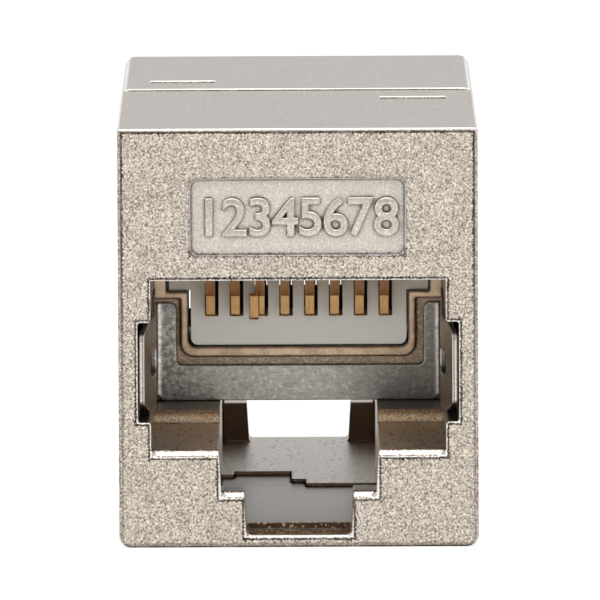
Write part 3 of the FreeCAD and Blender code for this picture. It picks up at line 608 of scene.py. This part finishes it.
def inner_plating(tree, finish, surface, floor):
    """Colour inside: walls and floors, a painted highlight on the step, golden with glints, painted shade on
    the lip, a painted highlight on edges near the mouth and painted shade on edges deep inside.
    """
    walls, floors = inner_walls(tree, finish, surface), inner_floors(tree, surface, floor)
    inner = blend(tree, surface.level, walls, floors)
    # painted highlight: the step's rounded riser golden, with painted glints
    lit_step = blend(tree, ramp(tree, surface.fine, 0.42, 0.5), finish.nickel_inside, STEP_HIGHLIGHT)
    inner = blend(tree, surface.step, inner, blend(tree, surface.glint, lit_step, BRIGHT_GLINT))
    # painted shade on the lip's floor, with painted glints
    painted_dark = blend(tree, times(tree, surface.glint, 0.7), LIP_SHADE, LIP_GLINT)
    inner = blend(tree, surface.lip, inner, painted_dark)
    # painted highlight on edges near the mouth
    bright = times(tree, surface.edge, 0.6, flipped(tree, surface.deep))
    inner = blend(tree, bright, inner, finish.nickel_field_and_highlight)
    # painted shade on and beside the edges deep inside
    shaded_deep_edges = times(tree, larger(tree, surface.edge, times(tree, surface.border, 0.6)), 0.75)
    return blend(tree, times(tree, shaded_deep_edges, surface.deep), inner, DEEP_EDGE_SHADE)


def mouth_shade_lines(tree, surface):
    """1 in the jagged lines of painted shade before and behind the slanted faces at the mouth of the lower
    opening.
    """
    jagged = plus(tree, surface.depth, surface.jag)
    behind = between_mm(tree, jagged, 0.2, 0.34, 0.02)
    before = ramp_mm(tree, jagged, 0.04, 0.06, 1, 0)
    slanted = times(tree, flipped(tree, surface.along), flipped(tree, surface.sideways))
    return times(tree, larger(tree, behind, before), between_mm(tree, surface.height, *MOUTH, 0.1), slanted)


def cast_nickel(finish, name, floor, relief=1.0):
    """Nickel plating: sandy outside, smoother inside, with painted highlights on the edges, a broken border
    of painted shade beside them, and painted shade in corners.
    """
    material, tree, shader = new_material(name)
    surface = casting_surface(tree, finish, relief)
    outer = outer_plating(tree, finish, surface, relief)
    base = blend(tree, surface.inside, outer, inner_plating(tree, finish, surface, floor))
    # painted shade lines at the mouth, with painted glints
    mouth_shade = blend(tree, surface.speck, MOUTH_SHADE, MOUTH_GLINT)
    base = blend(tree, times(tree, mouth_shade_lines(tree, surface), 0.85), base, mouth_shade)
    # painted shade in corners
    shaded_corners = times(tree, corners(tree, 0.18 * MILLIMETRE), ramp(tree, surface.coarse, 0.35, 0.6, 0.6, 1))
    base = blend(tree, shaded_corners, base, finish.painted_shade)

    sand = times(tree, flipped(tree, surface.inside), flipped(tree, surface.level))
    gritty = times(tree, sand, flipped(tree, times(tree, surface.painted_highlight, 0.7)))
    smooth = times(tree, flipped(tree, gritty), flipped(tree, surface.step))
    rough = ramp(tree, smooth, 0, 1, 0.28 + 0.27 * relief, 0.28)
    dull_lip = times(tree, surface.lip, surface.inside, 0.85)
    strength = ramp(tree, sand, 0, 1, 0.3 * relief, relief)
    waves = bump(tree, surface.coarse, 0.03 * MILLIMETRE, times(tree, strength, 0.35), surface.normal)
    grain = bump(tree, surface.fine, 0.05 * MILLIMETRE, strength, waves)
    shader.inputs["Metallic"].default_value = 1
    finish_shader(tree, shader, base, larger(tree, rough, dull_lip), grain)
    return material


def rolled_steel(finish):
    """Sheet steel: a finely hammered plate with painted shade towards the right and painted dark reflections
    in blotches at the left end, painted highlights on the bends and edges, brown wings from a painted
    reflection, and cut tips with a painted highlight on the outer half and painted shade on the inner half.
    """
    material, tree, shader = new_material("rolled_steel")
    vector = place(tree)
    side = axes(tree, vector)["X"]
    across, depth = absolute(tree, side), end_depth(tree)
    hammer = noise(tree, place(tree, (0.55, 1, 1)), 0.12 * MILLIMETRE, detail=3, roughness=0.6)
    blotch = noise(tree, vector, 0.22 * MILLIMETRE, detail=4, roughness=0.65)
    normal, edge, border = rounded(tree, 0.09 * MILLIMETRE)
    dark = tinted(finish.steel, 0.4, 0.42, 0.48)

    # painted shade: the plate darker towards the right
    base = blend(tree, ramp_mm(tree, side, 1, 4.2), finish.steel, tinted(finish.steel, 0.5))
    # painted reflection of dark surroundings in blotches, mostly at the left end
    painted_dark = times(tree, ramp(tree, blotch, 0.42, 0.58, 1, 0), ramp_mm(tree, side, -5.2, -3.4, 0.85, 0.1))
    base = blend(tree, painted_dark, base, dark)
    base = blend(tree, ramp(tree, hammer, 0.36, 0.52, 0.35, 0), base, dark)
    # bright flecks in the hammer pattern, partly grain and partly painted glint
    base = blend(tree, ramp(tree, hammer, 0.54, 0.68, 0, 0.16), base, STEEL_HIGHLIGHT)

    bend = times(tree, ramp_mm(tree, across, *BEND_ACROSS), ramp_mm(tree, depth, *BEND_DEPTH))
    # painted reflection: the inner faces of the wings brown
    base = blend(tree, times(tree, looks_sideways(tree), flipped(tree, bend)), base, WING_REFLECTION)
    # painted highlight on the bends, stronger on the left
    bend_highlight = times(tree, ramp(tree, blotch, 0.35, 0.6, 0.55, 1), ramp_mm(tree, side, -5, 5, 1, 0.5))
    base = blend(tree, times(tree, bend, bend_highlight), base, STEEL_HIGHLIGHT)
    # painted light on the cut tips: highlight on the outer half, shade on the inner half
    cut = blend(tree, ramp_mm(tree, across, *TIP_ACROSS), TIP_SHADE, STEEL_HIGHLIGHT)
    base = blend(tree, times(tree, looks_along(tree), ramp_mm(tree, depth, *TIP_DEPTH, 1, 0)), base, cut)
    # painted highlight on the edges and beside them
    base = blend(tree, larger(tree, edge, times(tree, border, 0.6)), base, STEEL_HIGHLIGHT)
    # painted shade in corners
    base = blend(tree, times(tree, corners(tree, 0.14 * MILLIMETRE), 0.7), base, finish.painted_shade)

    waves = bump(tree, blotch, 0.02 * MILLIMETRE, 0.2, normal)
    shader.inputs["Metallic"].default_value = 1
    finish_shader(tree, shader, base, ramp(tree, blotch, 0.3, 0.7, 0.36, 0.26),
                  bump(tree, hammer, 0.025 * MILLIMETRE, 0.8, waves))
    return material


def gold_plating(finish):
    """Thin gold over copper alloy, darker on the faces that look along the block, with a painted highlight on
    the edges and painted shade in corners.
    """
    material, tree, shader = new_material("gold_plating")
    cloud = noise(tree, place(tree), 0.3 * MILLIMETRE, detail=3)
    draw = noise(tree, place(tree, (6, 1, 1)), 0.5 * MILLIMETRE, detail=3)
    normal, edge = rounded(tree, 0.05 * MILLIMETRE)[:2]
    base = blend(tree, ramp(tree, cloud, 0.35, 0.65), tinted(finish.gold, 0.85, 0.75, 0.65), finish.gold)
    shin = times(tree, looks_along(tree), ramp(tree, draw, 0.3, 0.7, 0.8, 1))
    base = blend(tree, shin, base, tinted(finish.gold, 0.53))
    # painted highlight on the edges
    base = blend(tree, times(tree, edge, 0.5), base, GOLD_HIGHLIGHT)
    # painted shade in corners
    base = blend(tree, corners(tree, 0.1 * MILLIMETRE), base, finish.painted_shade)
    shader.inputs["Metallic"].default_value = 1
    finish_shader(tree, shader, base, ramp(tree, cloud, 0.3, 0.7, 0.3, 0.42),
                  bump(tree, draw, 0.01 * MILLIMETRE, 0.5, normal))
    return material


def shade_foil_film(finish):
    """Dark film with a faint rolled grain, for the sheet that stands in for shade between the carriers."""
    material, tree, shader = new_material("shade_foil_film")
    drawn = noise(tree, place(tree, (1, 1, 8)), 0.4 * MILLIMETRE, detail=3)
    base = blend(tree, ramp(tree, drawn, 0.35, 0.65), finish.foil, tinted(finish.foil, 1.6))
    finish_shader(tree, shader, base, ramp(tree, drawn, 0.3, 0.7, 0.45, 0.6),
                  bump(tree, drawn, 0.005 * MILLIMETRE, 0.4))
    return material


def moulded_nylon(finish):
    """Pale, slightly translucent nylon with a spark-eroded surface, with painted shade that makes it tawny
    towards the top and darker in corners.
    """
    material, tree, shader = new_material("moulded_nylon")
    vector = place(tree)
    cloud = noise(tree, vector, 2.2 * MILLIMETRE)
    skin = noise(tree, vector, 0.05 * MILLIMETRE, detail=3)
    # painted shade: darker and tawny towards the top
    shaded_top = times(tree, ramp_mm(tree, axes(tree, vector)["Z"], 7.6, 9.6), ramp(tree, cloud, 0.3, 0.7, 0.8, 1))
    base = blend(tree, shaded_top, finish.nylon, tinted(finish.nylon, 0.84, 0.75, 0.62))
    # painted shade in corners
    base = blend(tree, times(tree, corners(tree, 0.1 * MILLIMETRE), 0.5), base, NYLON_CORNER_SHADE)
    shader.inputs["IOR"].default_value = 1.75
    shader.inputs["Subsurface Weight"].default_value = 0.08
    shader.inputs["Subsurface Scale"].default_value = 0.4 * MILLIMETRE
    finish_shader(tree, shader, base, ramp(tree, skin, 0.3, 0.7, 0.4, 0.52),
                  bump(tree, skin, 0.004 * MILLIMETRE, 0.4))
    return material


def lacquered_board(finish):
    """Green lacquer over glass weave, with copper tracks showing through as paler bands."""
    material, tree, shader = new_material("lacquered_board")
    bands = tree.nodes.new("ShaderNodeTexWave")
    bands.wave_type = "BANDS"
    bands.bands_direction = "X"
    bands.inputs["Scale"].default_value = WAVE_SHARE / (TRACK_PITCH * MILLIMETRE)
    bands.inputs["Distortion"].default_value = 0.6
    tree.links.new(place(tree), bands.inputs["Vector"])
    track = ramp(tree, bands.outputs["Fac"], 0.62, 0.7)
    weave = noise(tree, place(tree), 0.15 * MILLIMETRE)
    finish_shader(tree, shader, blend(tree, track, finish.lacquer, tinted(finish.lacquer, 1.9)),
                  ramp(tree, weave, 0.3, 0.7, 0.25, 0.35), bump(tree, track, 0.03 * MILLIMETRE, 0.6))
    return material


# ---------------------------------------------------------------- pieces

def dress(names, material):
    """Give CAD pieces a material."""
    for name in names:
        NODES[name].data.materials.clear()
        NODES[name].data.materials.append(material)


def add_piece(piece):
    """Let a new piece ride on the coupler."""
    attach(piece, BODY)


def start_clean():
    """Leave edit mode and deselect everything."""
    if bpy.context.object and bpy.context.object.mode != "OBJECT":
        bpy.ops.object.mode_set(mode="OBJECT")
    bpy.ops.object.select_all(action="DESELECT")


def make_number(text, foot, sizes):
    """One raised number with rounded edges, whose back lies on the field."""
    start_clean()
    bpy.ops.object.text_add(location=(0, 0, 0))
    number = bpy.context.object
    number.name = f"number_{text}"
    number.data.body = text
    number.data.size = sizes.height / DIGIT_SHARE
    number.data.offset = -sizes.rounding / 4
    number.data.extrude = sizes.relief / 2 - sizes.rounding / 2
    number.data.bevel_depth = sizes.rounding
    number.data.bevel_resolution = 2
    number.data.resolution_u = 5
    bpy.ops.object.convert(target="MESH")
    mesh = bpy.context.object.data
    low = Vector(min(vertex.co[axis] for vertex in mesh.vertices) for axis in range(3))
    high = Vector(max(vertex.co[axis] for vertex in mesh.vertices) for axis in range(3))
    centred = Matrix.Translation(-(low + high) / 2)
    flat = Matrix.Diagonal((1, 1, sizes.relief / (high - low).z, 1))
    upright = Matrix.Rotation(math.radians(90), 4, "X")
    middle = foot - Vector((0, sizes.relief / 2, 0))
    mesh.transform(Matrix.Translation(middle) @ upright @ flat @ centred)
    bpy.ops.object.mode_set(mode="EDIT")
    bpy.ops.mesh.select_all(action="SELECT")
    bpy.ops.mesh.remove_doubles(threshold=sizes.rounding * 0.02)
    bpy.ops.mesh.normals_make_consistent(inside=False)
    bpy.ops.object.mode_set(mode="OBJECT")
    bpy.ops.object.shade_smooth_by_angle(angle=math.radians(50))
    return bpy.context.object


def raise_top(piece, left, height, dip=None):
    """Extrude the top faces that lie right of one line and outside the dip, if there is one."""
    top = max(face.center.z for face in piece.data.polygons)
    for face in piece.data.polygons:
        beside = dip is None or abs(face.center.x) > dip / 2
        face.select = face.center.z > top - FLUSH and face.center.x > left and beside
    bpy.ops.object.mode_set(mode="EDIT")
    bpy.ops.mesh.extrude_region_move(TRANSFORM_OT_translate={"value": (0, 0, height)})
    bpy.ops.mesh.select_all(action="DESELECT")
    bpy.ops.object.mode_set(mode="OBJECT")


def make_foil(sizes):
    """A dark sheet of painted shade that stands between the carriers, cut back at the left and in the middle
    of its upper edge.
    """
    start_clean()
    bpy.ops.mesh.primitive_cube_add(size=1, location=(0, 0, 0))
    foil = bpy.context.object
    foil.name = "seam_foil"
    foil.data.transform(Matrix.Translation((0, 0, (sizes.low + sizes.shoulder) / 2))
                        @ Matrix.Diagonal((sizes.width, sizes.gauge, sizes.shoulder - sizes.low, 1)))
    left = sizes.cut_back - sizes.width / 2
    bpy.ops.object.mode_set(mode="EDIT")
    for across in (left, -sizes.dip_width / 2, sizes.dip_width / 2):
        bpy.ops.mesh.select_all(action="SELECT")
        bpy.ops.mesh.bisect(plane_co=(across, 0, 0), plane_no=(1, 0, 0))
    bpy.ops.mesh.select_mode(type="FACE")
    bpy.ops.mesh.select_all(action="DESELECT")
    bpy.ops.object.mode_set(mode="OBJECT")
    raise_top(foil, left, sizes.dip - sizes.shoulder)
    raise_top(foil, left, sizes.high - sizes.dip, dip=sizes.dip_width)
    bpy.ops.object.mode_set(mode="EDIT")
    bpy.ops.mesh.select_all(action="SELECT")
    bpy.ops.mesh.normals_make_consistent(inside=False)
    # Extruded faces come in no fixed order, so they are put in order of how far they lie from one corner.
    bpy.context.scene.cursor.location = FAR_CORNER
    bpy.ops.mesh.sort_elements(type="CURSOR_DISTANCE", elements={"VERT", "EDGE", "FACE"})
    bpy.ops.object.mode_set(mode="OBJECT")
    return foil


# ---------------------------------------------------------------- operators

class CastHousings(bpy.types.Operator):
    """Give both die-cast halves their nickel plating"""
    bl_idname = "coupler.cast_housings"
    bl_label = "Housings"

    def execute(self, context):
        finish = context.scene.coupler_finish
        dark = tuple(channel * 0.5 for channel in finish.nickel_level)
        dress(["front_housing"], cast_nickel(finish, "front_casting", dark))
        dress(["rear_housing"], cast_nickel(finish, "rear_casting", finish.nickel_level))
        return {"FINISHED"}


class RolledShields(bpy.types.Operator):
    """Give both shield springs their bright sheet steel"""
    bl_idname = "coupler.rolled_shields"
    bl_label = "Shield springs"

    def execute(self, context):
        dress(SHIELDS, rolled_steel(context.scene.coupler_finish))
        return {"FINISHED"}


class NylonCarriers(bpy.types.Operator):
    """Give both contact carriers their nylon"""
    bl_idname = "coupler.nylon_carriers"
    bl_label = "Contact carriers"

    def execute(self, context):
        dress(CARRIERS, moulded_nylon(context.scene.coupler_finish))
        return {"FINISHED"}


class GoldContacts(bpy.types.Operator):
    """Give all the contacts their gold plating"""
    bl_idname = "coupler.gold_contacts"
    bl_label = "Contacts"

    def execute(self, context):
        dress(CONTACTS, gold_plating(context.scene.coupler_finish))
        return {"FINISHED"}


class CircuitBoard(bpy.types.Operator):
    """Give the circuit board its lacquer and tracks"""
    bl_idname = "coupler.circuit_board"
    bl_label = "Circuit board"

    def execute(self, context):
        dress(["circuit_board"], lacquered_board(context.scene.coupler_finish))
        return {"FINISHED"}


class ShadeFoil(bpy.types.Operator):
    """Stand the dark foil between the two contact carriers, as painted shade"""
    bl_idname = "coupler.insulating_foil"
    bl_label = "Shade foil"

    def execute(self, context):
        foil = make_foil(context.scene.coupler_foil)
        foil.data.materials.append(shade_foil_film(context.scene.coupler_finish))
        add_piece(foil)
        return {"FINISHED"}


class RaisedNumbers(bpy.types.Operator):
    """Raise the numbers in the sunk field, one over each contact"""
    bl_idname = "coupler.raised_numbers"
    bl_label = "Numbers"

    def execute(self, context):
        sizes = context.scene.coupler_marking
        finish = context.scene.coupler_finish
        material = cast_nickel(finish, "raised_casting", finish.nickel_level, relief=0.25)
        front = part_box("front_housing")[0].y
        first, last = (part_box(FRONT_CONTACTS[end])[1].x for end in (0, -1))
        count = len(FRONT_CONTACTS)
        for index in range(count):
            across = (first + (last - first) * index / (count - 1)) - (first + last) / 2
            foot = Vector((across, front + sizes.field_sink, sizes.field_middle))
            number = make_number(str(index + 1), foot, sizes)
            number.data.materials.clear()
            number.data.materials.append(material)
            add_piece(number)
        return {"FINISHED"}


class StudioStage(bpy.types.Operator):
    """Set the pale floor, the soft light and the camera"""
    bl_idname = "coupler.studio_stage"
    bl_label = "Stage"

    def execute(self, context):
        stage = context.scene.coupler_stage
        make_floor(stage)
        make_sky(stage)
        make_lights(stage)
        make_camera(stage)
        context.scene.view_settings.view_transform = "Standard"
        return {"FINISHED"}


# ---------------------------------------------------------------- stage

def sees_white(tree):
    """1 for what the camera sees directly, in gloss or through glass."""
    path = tree.nodes.new("ShaderNodeLightPath")
    total = path.outputs["Is Camera Ray"]
    for name in ("Is Glossy Ray", "Is Transmission Ray"):
        total = larger(tree, total, path.outputs[name])
    return total


def make_floor(stage):
    """A wide pale floor at the height of the underside."""
    start_clean()
    bpy.ops.mesh.primitive_plane_add(size=6, location=(0, 0, CAD_BOX[0].z))
    floor = bpy.context.object
    floor.name = "floor"
    bpy.ops.object.transform_apply(location=True)
    material, tree, shader = new_material("floor_paper")
    shader.inputs["Base Color"].default_value = (*stage.floor, 1)
    shader.inputs["Roughness"].default_value = 0.9
    shader.inputs["Specular IOR Level"].default_value = 0.1
    glow = tree.nodes.new("ShaderNodeEmission")
    mix = tree.nodes.new("ShaderNodeMixShader")
    tree.links.new(times(tree, sees_white(tree), stage.glow), mix.inputs["Fac"])
    tree.links.new(shader.outputs["BSDF"], mix.inputs[1])
    tree.links.new(glow.outputs["Emission"], mix.inputs[2])
    output = next(node for node in tree.nodes if node.type == "OUTPUT_MATERIAL")
    tree.links.new(mix.outputs["Shader"], output.inputs["Surface"])
    floor.data.materials.append(material)


def make_sky(stage):
    """An even sky that shows as plain white, with a dim room behind the camera for metal to mirror."""
    world = bpy.data.worlds.new("studio")
    world.use_nodes = True
    tree = world.node_tree
    tree.nodes.clear()
    output = tree.nodes.new("ShaderNodeOutputWorld")
    background = tree.nodes.new("ShaderNodeBackground")
    direction = axes(tree, tree.nodes.new("ShaderNodeTexCoord").outputs["Generated"])
    mirrored = ramp(tree, direction["Y"], -0.985, -0.84, stage.dark_side, 1)
    path = tree.nodes.new("ShaderNodeLightPath")
    glossy = pick(tree, path.outputs["Is Glossy Ray"], stage.sky, mirrored)
    seen = pick(tree, path.outputs["Is Transmission Ray"], glossy, 1)
    tree.links.new(pick(tree, path.outputs["Is Camera Ray"], seen, 1), background.inputs["Strength"])
    tree.links.new(background.outputs["Background"], output.inputs["Surface"])
    bpy.context.scene.world = world


def add_softbox(name, power, size, location, target, mirrored=True):
    """One square area light that looks at a point, and that metal mirrors or not."""
    light = bpy.data.lights.new(name, "AREA")
    light.shape = "SQUARE"
    light.size = size
    light.energy = power
    lamp = bpy.data.objects.new(name, light)
    lamp.location = location
    lamp.rotation_euler = (Vector(target) - Vector(location)).to_track_quat("-Z", "Y").to_euler()
    lamp.visible_glossy = mirrored
    bpy.context.scene.collection.objects.link(lamp)


def make_lights(stage):
    """A large softbox overhead, a weaker one at each side and a small one that lights the plug opening."""
    middle = (CAD_BOX[0] + CAD_BOX[1]) / 2
    length = (CAD_BOX[1] - CAD_BOX[0]).y
    above = middle + Vector((0, 0, length * 12))
    add_softbox("top_softbox", stage.top_light, length * 24, above, middle)
    ahead = middle + Vector((0, -length * 17, length * 3.6))
    add_softbox("front_softbox", stage.front_light, length * 4, ahead, middle, mirrored=False)
    for name, side in (("left_softbox", -1), ("right_softbox", 1)):
        beside = middle + Vector((side * length * 14, -length * 10, length * 6))
        add_softbox(name, stage.side_light, length * 8, beside, middle)


def make_camera(stage):
    """A long lens in front of the block, looking slightly down."""
    camera = bpy.data.cameras.new("camera")
    camera.lens = stage.lens
    camera.sensor_width = 36
    camera.clip_start = stage.distance / 20
    camera.clip_end = stage.distance * 20
    eye = bpy.data.objects.new("camera", camera)
    aim = Vector((stage.aim_side, 0, stage.aim_height))
    eye.location = aim + Vector((0, -stage.distance, stage.distance * math.tan(stage.elevation)))
    look = (aim - eye.location).to_track_quat("-Z", "Y").to_matrix().to_4x4()
    turned = look @ Matrix.Rotation(-stage.roll, 4, "Z")
    eye.rotation_euler = turned.to_euler()
    bpy.context.scene.collection.objects.link(eye)
    bpy.context.scene.camera = eye


# ---------------------------------------------------------------- panel and run

STEPS = (CastHousings, RolledShields, NylonCarriers, GoldContacts, CircuitBoard, ShadeFoil,
         RaisedNumbers, StudioStage)
GROUPS = (("coupler_finish", CouplerFinish), ("coupler_foil", CouplerFoil),
          ("coupler_marking", CouplerMarking), ("coupler_stage", CouplerStage))


class CouplerPanel(bpy.types.Panel):
    """Lists the coupler's sizes, colours and steps"""
    bl_idname = "VIEW3D_PT_coupler"
    bl_label = "Inline coupler"
    bl_space_type = "VIEW_3D"
    bl_region_type = "UI"
    bl_category = "Coupler"

    def draw(self, context):
        for name, group in GROUPS:
            box = self.layout.box()
            settings = getattr(context.scene, name)
            for key in group.__annotations__:
                box.prop(settings, key)
        for step in STEPS:
            self.layout.operator(step.bl_idname)


def register():
    for kind in (*(group for name, group in GROUPS), *STEPS, CouplerPanel):
        bpy.utils.register_class(kind)
    for name, group in GROUPS:
        setattr(bpy.types.Scene, name, PointerProperty(type=group))


def unregister():
    for name, group in GROUPS:
        delattr(bpy.types.Scene, name)
    for kind in (CouplerPanel, *STEPS, *(group for name, group in GROUPS)):
        bpy.utils.unregister_class(kind)


def main():
    register()
    for step in STEPS:
        area, name = step.bl_idname.split(".")
        getattr(getattr(bpy.ops, area), name)()


if __name__ == "__main__":
    main()
